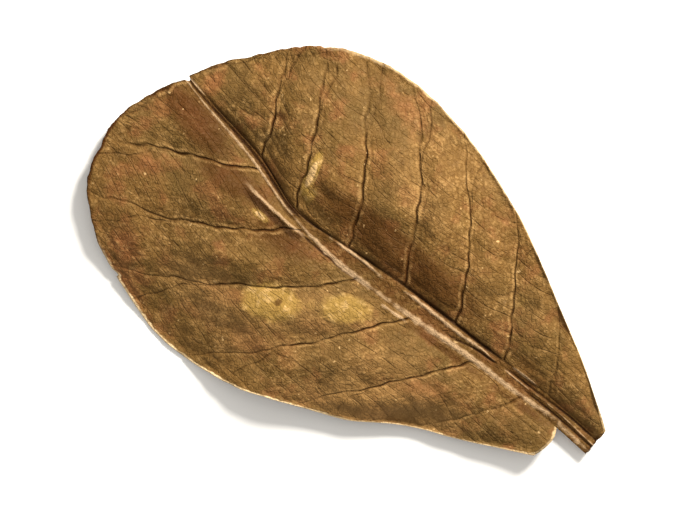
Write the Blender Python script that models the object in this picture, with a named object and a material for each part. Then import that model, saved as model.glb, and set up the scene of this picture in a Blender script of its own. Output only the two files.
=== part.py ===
"""A dried Indian almond leaf, lying on its underside with the upper face up.

The whole leaf grew as one piece, so it is one closed solid: a waved blade with its side veins and
net in relief, and a thick midrib that ends in a cut stub. Metres, +Z up. The midrib runs along +Y
to the tip. The outline is measured from the cut end of the stub, and the finished solid is moved so
that the middle of its footprint is the origin.
"""

import math

import bmesh
import bpy
import numpy as np

# Midrib: places (x, y) from the cut end of the stub to the notch at the tip
MIDRIB = (
    (-0.0009, -0.0010),
    (-0.0009, 0.0125),
    (-0.0017, 0.0300),
    (-0.0034, 0.0500),
    (-0.0054, 0.0700),
    (-0.0073, 0.0900),
    (-0.0089, 0.1080),
    (-0.0096, 0.1220),
    (-0.0090, 0.1310),
    (-0.0066, 0.1400),
    (-0.0041, 0.1490),
    (-0.0024, 0.1600),
    (-0.0010, 0.1740),
    (0.0008, 0.1867),
)
BASE, TIP = MIDRIB[0][1], MIDRIB[-1][1]
LEFT_BLADE_BASE = 0.0125

# Each row of the blade starts at a station along the midrib and ends at a point (x, y, z) of the
# margin, whose heights give it its waves
LEFT_MARGIN = (
    (LEFT_BLADE_BASE, (-0.0164, 0.0123, 0.0052)),
    (0.0200, (-0.0268, 0.0300, 0.0040)),
    (0.0310, (-0.0385, 0.0520, 0.0026)),
    (0.0405, (-0.0503, 0.0685, 0.0046)),
    (0.0498, (-0.0580, 0.0845, 0.0068)),
    (0.0615, (-0.0660, 0.1015, 0.0054)),
    (0.0727, (-0.0705, 0.1190, 0.0022)),
    (0.0830, (-0.0713, 0.1385, 0.0006)),
    (0.0935, (-0.0662, 0.1590, 0.0026)),
    (0.1105, (-0.0597, 0.1742, 0.0058)),
    (0.1277, (-0.0497, 0.1868, 0.0064)),
    (0.1464, (-0.0340, 0.1938, 0.0040)),
    (0.1680, (-0.0243, 0.1950, 0.0031)),
    (TIP, (-0.0193, 0.1946, 0.0036)),
)
RIGHT_MARGIN = (
    (BASE, (0.0062, -0.0006, 0.0034)),
    (0.0100, (0.0182, 0.0205, 0.0048)),
    (0.0230, (0.0290, 0.0435, 0.0064)),
    (0.0370, (0.0395, 0.0660, 0.0052)),
    (0.0520, (0.0474, 0.0900, 0.0024)),
    (0.0700, (0.0516, 0.1135, 0.0006)),
    (0.0900, (0.0510, 0.1335, 0.0012)),
    (0.1120, (0.0462, 0.1490, 0.0040)),
    (0.1330, (0.0388, 0.1598, 0.0066)),
    (0.1520, (0.0312, 0.1674, 0.0064)),
    (0.1700, (0.0252, 0.1722, 0.0050)),
    (TIP, (0.0200, 0.1759, 0.0042)),
)
# Angles in degrees, from forward, at which the rows leave the midrib. The bow is the share of the
# straight distance to the margin at which a row's control point lies
LEFT_LEAVING = (
    (LEFT_BLADE_BASE, 120.0),
    (0.0310, 62.0),
    (0.0500, 56.0),
    (0.0755, 53.0),
    (0.0975, 54.0),
    (0.1220, 44.0),
    (0.1470, 33.0),
    (0.1680, 42.0),
    (TIP, 58.0),
)
RIGHT_LEAVING = ((BASE, 90.0), (0.0230, 68.0), (0.0620, 64.0), (0.1065, 66.0), (0.1530, 70.0), (TIP, 110.0))
ROW_BOW = 0.45

# Side veins, by their stations, with a row on each and one at either side of it
LEFT_VEINS = (0.0290, 0.0500, 0.0755, 0.0975, 0.1220, 0.1470)
RIGHT_VEINS = (0.0220, 0.0410, 0.0620, 0.0835, 0.1065, 0.1290, 0.1500)
VEIN_FLANK = 0.0014
WIDEST_ROW_STEP = 0.0046

# Columns of each half, closer together near the midrib by this power
COLUMNS = 18
COLUMN_POWER = 1.2

# Thickness of the blade, and the relief of its veins, net and the quilting between veins
BLADE_THICKNESS = 0.00072
VEIN_WIDTH = 0.0009
VEIN_SUNK = 0.00030
VEIN_RAISED = 0.00060
VEIN_FADE = 0.65
QUILT_HEIGHT = 0.00070
NET_HEIGHT = 0.00032
SHORT_ROW = 0.030

# Midrib by station: half its width, its depth under the blade, and the height of the blade's
# underside beside it. Across it, the columns are shares of its half width
RIB_HALF_WIDTH = (
    (BASE, 0.0034),
    (0.0200, 0.0033),
    (0.0400, 0.0034),
    (0.0700, 0.0038),
    (0.0900, 0.0036),
    (0.1050, 0.0031),
    (0.1180, 0.0023),
    (0.1290, 0.0017),
    (0.1500, 0.0017),
    (0.1700, 0.0014),
    (TIP, 0.0010),
)
RIB_DEPTH = ((BASE, 0.0025), (0.0300, 0.0023), (0.1000, 0.0015), (0.1500, 0.0008), (TIP, 0.0003))
SPINE_HEIGHT = ((BASE, 0.0025), (0.0200, 0.0030), (0.0600, 0.0052), (0.1050, 0.0062), (TIP, 0.0040))
RIB_COLUMNS = (-1.0, -0.66, -0.3, 0.0, 0.3, 0.66, 1.0)
RIDGE_HEIGHT = 0.00045
GROOVE_DEPTH = 0.00030

# Form of the blade between the midrib and the margin
CROWN_HEIGHT = ((BASE, 0.0004), (0.0300, 0.0022), (0.0900, 0.0036), (0.1400, 0.0028), (TIP, 0.0006))
CROWN_SKEW = 0.75
EDGE_POWER = 1.7
# Long low waves of the blade: height, the two lengths of the wave along X and Y, and its phase
UNDULATIONS = (
    (0.00060, 0.0120, 0.0210, 1.3),
    (0.00045, -0.0170, 0.0105, 0.4),
    (0.00030, 0.0075, -0.0090, 2.2),
)
# A low crease that leaves the midrib on the left, as places (y, x)
CREASE = ((0.1180, -0.0119), (0.1250, -0.0124), (0.1320, -0.0129), (0.1400, -0.0130), (0.1480, -0.0126))
CREASE_WIDTH = 0.0017
CREASE_HEIGHT = 0.00070
CREASE_FADE = 0.0080

# The leaf rests under its stub and at a low place of each margin, pressed flat there
STUB_REACH = 0.0120
LEFT_FOOT = (0.0700, 0.0980)
RIGHT_FOOT = (0.0560, 0.1060)
FOOT_PRESS = 0.00030

DRY_LEAF_COLOUR = (0.242, 0.127, 0.038, 1.0)
DRY_LEAF_ROUGHNESS = 0.62


def clear_scene():
    for obj in list(bpy.data.objects):
        bpy.data.objects.remove(obj, do_unlink=True)


def smooth(table, at):
    """Values of a table of (place, value) at other places, on a smooth curve through all of them."""
    places = np.array([row[0] for row in table])
    values = np.array([row[1] for row in table], dtype=float)
    slopes = np.gradient(values, places, axis=0)
    at = np.asarray(at, dtype=float)
    i = np.clip(np.searchsorted(places, at, side="right") - 1, 0, len(places) - 2)
    span = places[i + 1] - places[i]
    u = np.clip((at - places[i]) / span, 0.0, 1.0)
    if values.ndim > 1:
        span, u = span[..., None], u[..., None]
    start = (1 + 2 * u) * (1 - u) ** 2 * values[i] + u * (1 - u) ** 2 * span * slopes[i]
    end = u * u * (3 - 2 * u) * values[i + 1] - u * u * (1 - u) * span * slopes[i + 1]
    return start + end


def bell(distance, width):
    return np.exp(-((distance / width) ** 2))


def ramp(at, first, last):
    """Rises smoothly from 0 at first to 1 at last."""
    u = np.clip((at - first) / (last - first), 0.0, 1.0)
    return u * u * (3 - 2 * u)


def row_stations():
    """Where the rows start: at the ends, at each vein and beside it, and evenly between those."""
    marks = [BASE, LEFT_BLADE_BASE, TIP]
    for vein in LEFT_VEINS + RIGHT_VEINS:
        marks += [vein - VEIN_FLANK, vein, vein + VEIN_FLANK]
    marks.sort()
    stations = [marks[0]]
    for mark in marks[1:]:
        steps = math.ceil((mark - stations[-1]) / WIDEST_ROW_STEP)
        stations += list(np.linspace(stations[-1], mark, steps + 1)[1:])
    return np.array(stations)


def midrib_line(stations):
    """Middle of the midrib in plan at each station, and the unit vector to its right."""
    x = smooth([(y, x) for x, y in MIDRIB], stations)
    slope = np.gradient(x, stations)
    right = np.stack([np.ones_like(slope), -slope], axis=-1)
    right /= np.linalg.norm(right, axis=-1, keepdims=True)
    return np.stack([x, stations], axis=-1), right


def blade_plan(side, stations, shares):
    """Plan places and margin heights of one half: a row for each station, a column for each share."""
    middle, right = midrib_line(stations)
    start = middle + side * smooth(RIB_HALF_WIDTH, stations)[:, None] * right
    margin = smooth(LEFT_MARGIN if side < 0 else RIGHT_MARGIN, stations)
    end = margin[:, :2]
    angle = np.radians(smooth(LEFT_LEAVING if side < 0 else RIGHT_LEAVING, stations))
    leaving = np.stack([side * np.sin(angle), np.cos(angle)], axis=-1)
    reach = np.linalg.norm(end - start, axis=-1, keepdims=True)
    control = start + ROW_BOW * reach * leaving
    u = shares[None, :, None]
    start, control, end = start[:, None], control[:, None], end[:, None]
    plan = (1 - u) ** 2 * start + 2 * u * (1 - u) * control + u**2 * end
    return plan, margin[:, 2], reach[:, 0]


def vein_marks(side, stations):
    """How near each row is to a side vein, and how far it is into the quilt between two veins."""
    veins = LEFT_VEINS if side < 0 else RIGHT_VEINS
    near = sum(bell(stations - vein, VEIN_WIDTH) for vein in veins)
    count = np.interp(stations, [BASE, *veins, TIP], np.arange(len(veins) + 2))
    return near, np.sin(np.pi * count) ** 2


def undulation(plan):
    """Long low waves that cross the whole blade."""
    return sum(
        height * np.sin(plan[..., 0] / along_x + plan[..., 1] / along_y + phase)
        for height, along_x, along_y, phase in UNDULATIONS
    )


def crease(plan):
    """The height that the crease adds at each plan place."""
    x, y = plan[..., 0], plan[..., 1]
    first, last = CREASE[0][0], CREASE[-1][0]
    part = ramp(y, first, first + CREASE_FADE) * (1 - ramp(y, last - CREASE_FADE, last))
    return CREASE_HEIGHT * part * bell(x - smooth(CREASE, y), CREASE_WIDTH)


def blade_half(side, stations, shares):
    """Plan, underside height and top height of one half of the blade."""
    plan, margin_z, reach = blade_plan(side, stations, shares)
    u = shares[None, :]
    spine = smooth(SPINE_HEIGHT, stations)[:, None]
    under = spine + (margin_z[:, None] - spine) * u**EDGE_POWER
    under = under + smooth(CROWN_HEIGHT, stations)[:, None] * np.sin(np.pi * u**CROWN_SKEW)
    inner = np.sin(np.pi * np.minimum(u, 0.5))
    near, quilt = vein_marks(side, stations)
    near = near[:, None] * (1 - VEIN_FADE * u)
    quilt = (quilt * np.minimum(reach / SHORT_ROW, 1) ** 2)[:, None] * np.sin(np.pi * u)
    net = np.where(np.arange(COLUMNS) % 2, 1, -1) * quilt
    under = under + undulation(plan) * inner + crease(plan)
    under = under + QUILT_HEIGHT * quilt + NET_HEIGHT * net
    return plan, under - VEIN_RAISED * near, under + BLADE_THICKNESS - VEIN_SUNK * near


def midrib_strip(stations):
    """Plan, underside height and top height of the midrib, with two ridges and a groove on top."""
    middle, right = midrib_line(stations)
    across = np.array(RIB_COLUMNS)
    half = smooth(RIB_HALF_WIDTH, stations)
    plan = middle[:, None] + (half[:, None] * across)[..., None] * right[:, None]
    under = smooth(SPINE_HEIGHT, stations)[:, None]
    relief = RIDGE_HEIGHT * bell(np.abs(across) - RIB_COLUMNS[-2], 0.3) - GROOVE_DEPTH * bell(across, 0.3)
    relief = relief * (half / half[0])[:, None] * (np.abs(across) < 1)
    top = under + BLADE_THICKNESS + relief
    return plan, under - smooth(RIB_DEPTH, stations)[:, None] * np.sqrt(1 - across**2), top


def leaf_surfaces():
    """Stations, then the plan, underside and top of every grid point from left margin to right."""
    stations = row_stations()
    shares = np.linspace(0, 1, COLUMNS + 1)[1:] ** COLUMN_POWER
    left = [part[:, ::-1] for part in blade_half(-1, stations, shares)]
    joined = zip(left, midrib_strip(stations), blade_half(1, stations, shares))
    plan, under, top = (np.concatenate(parts, axis=1) for parts in joined)
    return stations, plan, under, top


def lowest_in(plan, under, mask):
    """The lowest grid point of a region, as (x, y, z)."""
    heights = np.where(mask, under, np.inf)
    place = np.unravel_index(np.argmin(heights), heights.shape)
    return np.array([*plan[place], heights[place]])


def seated(stations, plan, under, top):
    """Tilts the leaf onto the lowest points of its stub and margins, and presses it flat there."""
    columns = np.arange(under.shape[1])
    row = stations[:, None]
    feet = (
        (row < STUB_REACH) & (columns >= COLUMNS) & (columns < COLUMNS + len(RIB_COLUMNS)),
        (row > LEFT_FOOT[0]) & (row < LEFT_FOOT[1]) & (columns < COLUMNS // 2),
        (row > RIGHT_FOOT[0]) & (row < RIGHT_FOOT[1]) & (columns >= len(columns) - COLUMNS // 2),
    )
    points = np.array([lowest_in(plan, under, foot) for foot in feet])
    slope_x, slope_y, level = np.linalg.solve(
        np.column_stack([points[:, :2], np.ones(len(points))]), points[:, 2]
    )
    drop = slope_x * plan[..., 0] + slope_y * plan[..., 1] + level + FOOT_PRESS
    pressed = np.maximum(under - drop, 0)
    return pressed, top - under + pressed


def centred(plan, kept):
    """Moves the plan so that the middle of the kept points' bounding box is the origin."""
    used = plan[kept]
    return plan - (used.min(axis=0) + used.max(axis=0)) / 2


def grid_mesh(stations, plan, under, top):
    """A grid of the leaf's top, split into triangles and extruded down to its underside."""
    rows, columns = under.shape
    bm = bmesh.new()
    bmesh.ops.create_grid(bm, x_segments=columns - 1, y_segments=rows - 1, size=0.5)
    row_of = bm.verts.layers.int.new("row")
    column_of = bm.verts.layers.int.new("column")
    for vert in bm.verts:
        vert[row_of] = round((vert.co.y + 0.5) * (rows - 1))
        vert[column_of] = round((vert.co.x + 0.5) * (columns - 1))
    first_row = int(np.argmin(np.abs(stations - LEFT_BLADE_BASE)))
    missing = [
        vert for vert in bm.verts if vert[row_of] < first_row and vert[column_of] < COLUMNS
    ]
    bmesh.ops.delete(bm, geom=missing, context="VERTS")
    for vert in bm.verts:
        place = vert[row_of], vert[column_of]
        vert.co = (*plan[place], top[place])
    bmesh.ops.triangulate(bm, faces=bm.faces, quad_method="SHORT_EDGE")
    made = bmesh.ops.extrude_face_region(bm, geom=bm.faces[:], use_keep_orig=True)
    for vert in (item for item in made["geom"] if isinstance(item, bmesh.types.BMVert)):
        vert.co.z = under[vert[row_of], vert[column_of]]
    bmesh.ops.recalc_face_normals(bm, faces=bm.faces)
    mesh = bpy.data.meshes.new("leaf")
    bm.to_mesh(mesh)
    bm.free()
    return mesh


def dry_leaf_material():
    material = bpy.data.materials.new("dry_leaf")
    material.use_nodes = True
    shader = material.node_tree.nodes["Principled BSDF"]
    shader.inputs["Base Color"].default_value = DRY_LEAF_COLOUR
    shader.inputs["Roughness"].default_value = DRY_LEAF_ROUGHNESS
    shader.inputs["Metallic"].default_value = 0.0
    return material


def build_leaf():
    stations, plan, under, top = leaf_surfaces()
    under, top = seated(stations, plan, under, top)
    kept = np.ones(under.shape, dtype=bool)
    kept[stations < LEFT_BLADE_BASE, :COLUMNS] = False
    plan = centred(plan, kept)
    leaf = bpy.data.objects.new("leaf", grid_mesh(stations, plan, under, top))
    bpy.context.scene.collection.objects.link(leaf)
    leaf.data.materials.append(dry_leaf_material())
    leaf.data.shade_smooth()
    leaf.data.set_sharp_from_angle(angle=math.radians(40))


clear_scene()
build_leaf()
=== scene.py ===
"""The looks of one dried Indian almond leaf, lying on a pale floor with its upper face up.

The leaf is one closed mesh on a grid that follows its side veins. Rows start at stations along the
midrib and run out to the margin, and every point knows its place among the veins, so that relief and
colour share one layout. Lengths are metres where nothing else is said, +Y runs to the tip and +Z out of
the upper face.
"""

import logging
import math
from dataclasses import dataclass, field
from enum import Enum

import bmesh
import bpy
import numpy as np
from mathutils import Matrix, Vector, noise


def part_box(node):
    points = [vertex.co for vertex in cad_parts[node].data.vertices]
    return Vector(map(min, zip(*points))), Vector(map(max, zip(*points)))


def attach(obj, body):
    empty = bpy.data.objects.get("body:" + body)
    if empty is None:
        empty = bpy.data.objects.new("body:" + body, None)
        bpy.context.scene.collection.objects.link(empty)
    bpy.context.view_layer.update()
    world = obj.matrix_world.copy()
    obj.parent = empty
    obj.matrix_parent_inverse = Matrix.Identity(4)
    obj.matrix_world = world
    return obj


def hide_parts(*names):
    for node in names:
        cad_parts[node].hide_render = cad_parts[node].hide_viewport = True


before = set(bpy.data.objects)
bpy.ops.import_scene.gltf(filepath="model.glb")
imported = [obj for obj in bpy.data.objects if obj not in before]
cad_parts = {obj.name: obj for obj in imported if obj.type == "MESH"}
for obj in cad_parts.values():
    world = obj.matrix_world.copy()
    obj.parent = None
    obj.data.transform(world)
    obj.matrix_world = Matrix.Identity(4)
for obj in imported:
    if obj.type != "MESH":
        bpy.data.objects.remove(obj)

LOG = logging.getLogger("leaf")
NODE, BODY, SLOT = "leaf", "root", "dry_leaf"
PIECE = "almond_leaf"
MM = 0.001
IMAGE_SIZE = (679, 512)
BASE, LEFT_BASE, TIP = -0.0010, 0.0125, 0.1867

Socket = bpy.types.NodeSocket
Rgba = tuple[float, float, float, float]
Patch = tuple[float, float, float, float, float, float]


class Side(Enum):
    """A half of the blade, seen from above with the tip forward."""

    LEFT = -1
    RIGHT = 1


def bell(distance: np.ndarray, width: float) -> np.ndarray:
    """A smooth bump of height 1 at distance 0."""
    return np.exp(-((distance / width) ** 2))


def ramp(at: np.ndarray, first: float, last: float) -> np.ndarray:
    """A smooth rise from 0 at first to 1 at last."""
    u = np.clip((at - first) / (last - first), 0.0, 1.0)
    return u * u * (3 - 2 * u)


def left_base_row(stations: np.ndarray) -> int:
    """The row in which the left half begins."""
    return int(np.argmin(np.abs(stations - LEFT_BASE)))


@dataclass(frozen=True)
class Uneven:
    """An uneven height, made by fractal noise.

    Attributes:
        height: How far it goes up and down.
        size: Length of its largest waves.
        seed: Where in the noise it is taken.
        octaves: How many finer layers it has.
        decay: How fast the finer layers grow weaker.
        finer: How much finer each layer is than the one before.
    """

    height: float
    size: float
    seed: float
    octaves: int = 2
    decay: float = 0.9
    finer: float = 2.1

    def at(self, plan: np.ndarray) -> np.ndarray:
        """The height at each plan point.

        Args:
            plan: Points, with x and y in the last axis.

        Returns:
            One value for each point.
        """
        places = (Vector((x, y, self.seed)) for x, y in plan.reshape(-1, 2) / self.size)
        values = [noise.fractal(place, self.decay, self.finer, self.octaves) for place in places]
        return self.height * np.array(values).reshape(plan.shape[:-1])


@dataclass(frozen=True)
class Course:
    """A value that changes smoothly along the midrib, given at a few stations."""

    stations: tuple[float, ...]
    values: tuple[float | tuple[float, ...], ...]

    def at(self, stations: np.ndarray) -> np.ndarray:
        """The value at other stations, on a smooth curve through all that are given.

        Args:
            stations: Where it is wanted.

        Returns:
            The value there, with one axis more where the values are points.
        """
        places, values = np.array(self.stations), np.array(self.values, dtype=float)
        slopes = np.gradient(values, places, axis=0)
        i = np.clip(np.searchsorted(places, stations, side="right") - 1, 0, len(places) - 2)
        span = places[i + 1] - places[i]
        u = np.clip((stations - places[i]) / span, 0.0, 1.0)
        if values.ndim > 1:
            span, u = span[..., None], u[..., None]
        start = (1 + 2 * u) * (1 - u) ** 2 * values[i] + u * (1 - u) ** 2 * span * slopes[i]
        end = u * u * (3 - 2 * u) * values[i + 1] - u * u * (1 - u) * span * slopes[i + 1]
        return start + end


@dataclass(frozen=True)
class Half:
    """One half of the blade in plan, a row for each station and columns from the midrib to the margin.

    Attributes:
        side: Which half.
        stations: Where the rows start.
        plan: The grid's points.
        margin_height: Height of the margin at each row.
        reach: Straight length of each row.
        share: Place along the row, from 0 at the midrib to 1 at the margin.
        distance: Way from the midrib's edge.
        to_margin: Way to the nearest margin.
        veins: How many side veins the half has.
        count: Place among the side veins: a whole number on each, rising to the tip.
        spacing: Way from one side vein to the next.
    """

    side: Side
    stations: np.ndarray
    plan: np.ndarray
    margin_height: np.ndarray
    reach: np.ndarray
    share: np.ndarray
    distance: np.ndarray
    to_margin: np.ndarray
    veins: int
    count: np.ndarray
    spacing: np.ndarray


@dataclass(frozen=True)
class Plan:
    """The leaf seen from above: its midrib, its margins and the rows that join them."""

    midrib: Course = Course(
        (BASE, 0.0125, 0.0300, 0.0500, 0.0700, 0.0900, 0.1080, 0.1220)
        + (0.1310, 0.1400, 0.1490, 0.1600, 0.1740, TIP),
        (-0.0009, -0.0009, -0.0017, -0.0034, -0.0054, -0.0073, -0.0089, -0.0096)
        + (-0.0090, -0.0066, -0.0041, -0.0024, -0.0010, 0.0008),
    )
    rib_half_width: Course = Course(
        (BASE, 0.0200, 0.0400, 0.0700, 0.0900, 0.1050, 0.1180, 0.1290, 0.1500, 0.1700, TIP),
        (0.0034, 0.0033, 0.0034, 0.0038, 0.0036, 0.0031, 0.0023, 0.0017, 0.0017, 0.0014, 0.0010),
    )
    left_margin: Course = Course(
        (LEFT_BASE, 0.0200, 0.0310, 0.0405, 0.0498, 0.0615, 0.0727, 0.0830)
        + (0.0932, 0.1085, 0.1235, 0.1450, 0.1680, TIP),
        (
            (-0.0164, 0.0123, 0.0052),
            (-0.0268, 0.0300, 0.0040),
            (-0.0385, 0.0520, 0.0026),
            (-0.0503, 0.0685, 0.0046),
            (-0.0580, 0.0845, 0.0068),
            (-0.0660, 0.1015, 0.0054),
            (-0.0705, 0.1190, 0.0022),
            (-0.0713, 0.1385, 0.0006),
            (-0.0662, 0.1590, 0.0026),
            (-0.0597, 0.1742, 0.0058),
            (-0.0497, 0.1868, 0.0064),
            (-0.0340, 0.1938, 0.0040),
            (-0.0243, 0.1950, 0.0031),
            (-0.0193, 0.1946, 0.0036),
        ),
    )
    right_margin: Course = Course(
        (BASE, 0.0100, 0.0230, 0.0370, 0.0520, 0.0700, 0.0900, 0.1120, 0.1330, 0.1520, 0.1700, TIP),
        (
            (0.0062, -0.0006, 0.0034),
            (0.0182, 0.0205, 0.0048),
            (0.0290, 0.0435, 0.0064),
            (0.0395, 0.0660, 0.0052),
            (0.0474, 0.0900, 0.0024),
            (0.0516, 0.1135, 0.0006),
            (0.0510, 0.1335, 0.0012),
            (0.0462, 0.1490, 0.0040),
            (0.0388, 0.1598, 0.0066),
            (0.0312, 0.1674, 0.0064),
            (0.0252, 0.1722, 0.0050),
            (0.0200, 0.1759, 0.0042),
        ),
    )
    left_leaving: Course = Course(
        (LEFT_BASE, 0.0310, 0.0500, 0.0755, 0.0975, 0.1220, 0.1470, 0.1680, TIP),
        (120.0, 62.0, 56.0, 59.0, 54.0, 44.0, 33.0, 42.0, 58.0),
    )
    right_leaving: Course = Course(
        (BASE, 0.0230, 0.0620, 0.1065, 0.1530, TIP), (90.0, 68.0, 64.0, 66.0, 70.0, 110.0)
    )
    row_bow: float = 0.45
    left_veins: tuple[float, ...] = (0.0290, 0.0500, 0.0755, 0.0975, 0.1220, 0.1470)
    right_veins: tuple[float, ...] = (0.0220, 0.0410, 0.0620, 0.0835, 0.1065, 0.1290, 0.1500)
    edge_wave: Uneven = Uneven(0.00055, 0.0060, 6.1, 3)
    edge_wave_from: float = 0.80
    tip_wave: Uneven = Uneven(0.00055, 0.0060, 2.3, 3)
    tip_wave_from: float = 0.15
    tip_wave_reach: float = 0.0080
    nick: tuple[float, float, float] = (0.0945, 0.0007, 0.0014)
    tip_notch: float = 0.0014
    tip_notch_reach: float = 0.0040

    def veins(self, side: Side) -> tuple[float, ...]:
        """Stations of the side veins of one half."""
        return self.left_veins if side is Side.LEFT else self.right_veins

    def line(self, stations: np.ndarray) -> tuple[np.ndarray, np.ndarray]:
        """The middle of the midrib in plan.

        Args:
            stations: Where it is wanted.

        Returns:
            The point at each station, and the unit vector to its right.
        """
        x = self.midrib.at(stations)
        slope = np.gradient(x, stations)
        right = np.stack([np.ones_like(slope), -slope], axis=-1)
        right /= np.linalg.norm(right, axis=-1, keepdims=True)
        return np.stack([x, stations], axis=-1), right

    def edge_shift(self, side: Side, stations: np.ndarray) -> np.ndarray:
        """How far the ragged margin lies outside its smooth course.

        Args:
            side: Which half.
            stations: Where the rows start.

        Returns:
            The shift at each row.
        """
        along = np.stack([stations, stations * 0 + side.value], axis=-1)
        place, width, depth = self.nick
        return self.edge_wave.at(along) - depth * bell(stations - place, width) * (side is Side.LEFT)

    def rows(self, side: Side, stations: np.ndarray, shares: np.ndarray) -> tuple[np.ndarray, ...]:
        """Rows of one half, bowed from the midrib's edge to the margin.

        Args:
            side: Which half.
            stations: Where the rows start.
            shares: Places along each row, from 0 at the midrib to 1 at the margin.

        Returns:
            Plan points, the margin's height at each row, and each row's straight length.
        """
        left = side is Side.LEFT
        middle, right = self.line(stations)
        start = middle + side.value * self.rib_half_width.at(stations)[:, None] * right
        margin = (self.left_margin if left else self.right_margin).at(stations)
        end = margin[:, :2]
        angle = np.radians((self.left_leaving if left else self.right_leaving).at(stations))
        leaving = np.stack([side.value * np.sin(angle), np.cos(angle)], axis=-1)
        reach = np.linalg.norm(end - start, axis=-1, keepdims=True)
        control = start + self.row_bow * reach * leaving
        out = (end - control) / np.linalg.norm(end - control, axis=-1, keepdims=True)
        shift = (self.edge_shift(side, stations)[:, None] * out)[:, None]
        u = shares[None, :, None]
        start, control, end = start[:, None], control[:, None], end[:, None]
        plan = (1 - u) ** 2 * start + 2 * u * (1 - u) * control + u**2 * end
        plan = plan + ramp(u, self.edge_wave_from, 1.0) * shift
        near_tip = ramp(stations, TIP - self.tip_wave_reach, TIP)[:, None]
        plan[..., 1] += self.tip_wave.at(plan) * near_tip * ramp(shares, 0.0, self.tip_wave_from)
        return plan, margin[:, 2], reach[:, 0]

    def half(self, side: Side, stations: np.ndarray, shares: np.ndarray) -> Half:
        """Lays out one half of the blade.

        Args:
            side: Which half.
            stations: Where the rows start.
            shares: Places along each row, from 0 at the midrib to 1 at the margin.

        Returns:
            The half's grid.
        """
        plan, margin_height, reach = self.rows(side, stations, shares)
        share = np.broadcast_to(shares[None, :], plan.shape[:-1])
        distance, to_margin = reach[:, None] * share, reach[:, None] * (1 - share)
        if side is Side.LEFT:
            to_base = np.linalg.norm(plan - plan[left_base_row(stations)], axis=-1)
            to_margin = np.minimum(to_margin, to_base)
        veins = self.veins(side)
        count = np.interp(stations, [BASE, *veins, TIP], np.arange(len(veins) + 2))
        count = np.broadcast_to(count[:, None], share.shape)
        between_rows = np.linalg.norm(np.gradient(plan, axis=0), axis=-1)
        spacing = between_rows / np.maximum(np.gradient(count, axis=0), 1e-6)
        return Half(
            side, stations, plan, margin_height, reach, share, distance, to_margin, len(veins), count, spacing
        )


@dataclass(frozen=True)
class Sampling:
    """How closely the grid samples the leaf. Rows crowd at the veins, columns at midrib and margin."""

    rows: int = 296
    columns: int = 66
    rib_columns: int = 28
    vein_crowding: float = 1.5
    vein_reach: float = 0.0022
    edge_crowding: float = 1.5
    edge_reach: float = 0.07
    fine_stations: int = 4000
    fine_shares: int = 2000

    @staticmethod
    def spread(first: float, last: float, count: int, density: np.ndarray) -> np.ndarray:
        """Places that stand closer where the density is higher.

        Args:
            first: The first place.
            last: The last place.
            count: How many places there are.
            density: How close they stand, at even steps from first to last.

        Returns:
            The places.
        """
        fine = np.linspace(first, last, len(density))
        total = np.concatenate([[0.0], np.cumsum((density[1:] + density[:-1]) / 2)])
        return np.interp(np.linspace(0, total[-1], count), total, fine)

    def stations(self, plan: Plan) -> np.ndarray:
        """Stations of the rows.

        Args:
            plan: The leaf's plan.

        Returns:
            The stations, one of them at the base of the left half.
        """
        fine = np.linspace(BASE, TIP, self.fine_stations)
        veins = plan.left_veins + plan.right_veins
        density = 1 + self.vein_crowding * sum(bell(fine - vein, self.vein_reach) for vein in veins)
        stations = self.spread(BASE, TIP, self.rows + 1, density)
        stations[left_base_row(stations)] = LEFT_BASE
        return stations

    def shares(self) -> np.ndarray:
        """Places along a row.

        Returns:
            Shares of the row's length, without the one on the midrib's edge.
        """
        fine = np.linspace(0, 1, self.fine_shares)
        crowd = bell(fine, self.edge_reach) + bell(1 - fine, self.edge_reach)
        return self.spread(0, 1, self.columns + 1, 1 + self.edge_crowding * crowd)[1:]

    def across(self) -> np.ndarray:
        """Places across the midrib, from -1 at its left edge to 1."""
        return np.linspace(-1, 1, self.rib_columns + 1)


@dataclass
class Strip:
    """Grid values of one strip of the leaf, a row for each station and a column across it.

    Attributes:
        plan: The grid's points.
        under: Heights of the under face.
        top: Heights of the upper face.
        place: Place among the side veins, share of the row, and millimetres from the midrib.
        lines: Place among the cross veins, and millimetres between side veins and to the margin.
        rib: Pale raised strands, painted as highlights, dark sunk strands, painted as shade, and how much of
            the midrib's band there is.
        marks: Millimetres to the right of the crease, how strongly its painted highlight and shade are drawn
            there, and how strong the margin's painted rim is.
        tone: Golden cover, red cover, and dark cover less light cover.
    """

    plan: np.ndarray
    under: np.ndarray
    top: np.ndarray
    place: np.ndarray
    lines: np.ndarray
    rib: np.ndarray
    marks: np.ndarray
    tone: np.ndarray

    def flipped(self) -> "Strip":
        """The strip with its columns in reverse."""
        return Strip(*(value[:, ::-1] for value in vars(self).values()))

    @staticmethod
    def joined(strips: list["Strip"]) -> "Strip":
        """Strips side by side."""
        values = zip(*(vars(strip).values() for strip in strips))
        return Strip(*(np.concatenate(parts, axis=1) for parts in values))


@dataclass(frozen=True)
class Strand:
    """A fine ridge or groove that runs along the midrib.

    Attributes:
        path: Its place across the midrib by station, from -1 at the left edge to 1.
        strength: How marked it is by station.
        width: Its width as a share of the midrib's half width.
    """

    path: Course
    strength: Course
    width: float

    def at(self, across: np.ndarray, stations: np.ndarray) -> np.ndarray:
        """Its strength at each place."""
        strength = np.clip(self.strength.at(stations), 0, 1)
        return strength * bell(across - self.path.at(stations), self.width)


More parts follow.
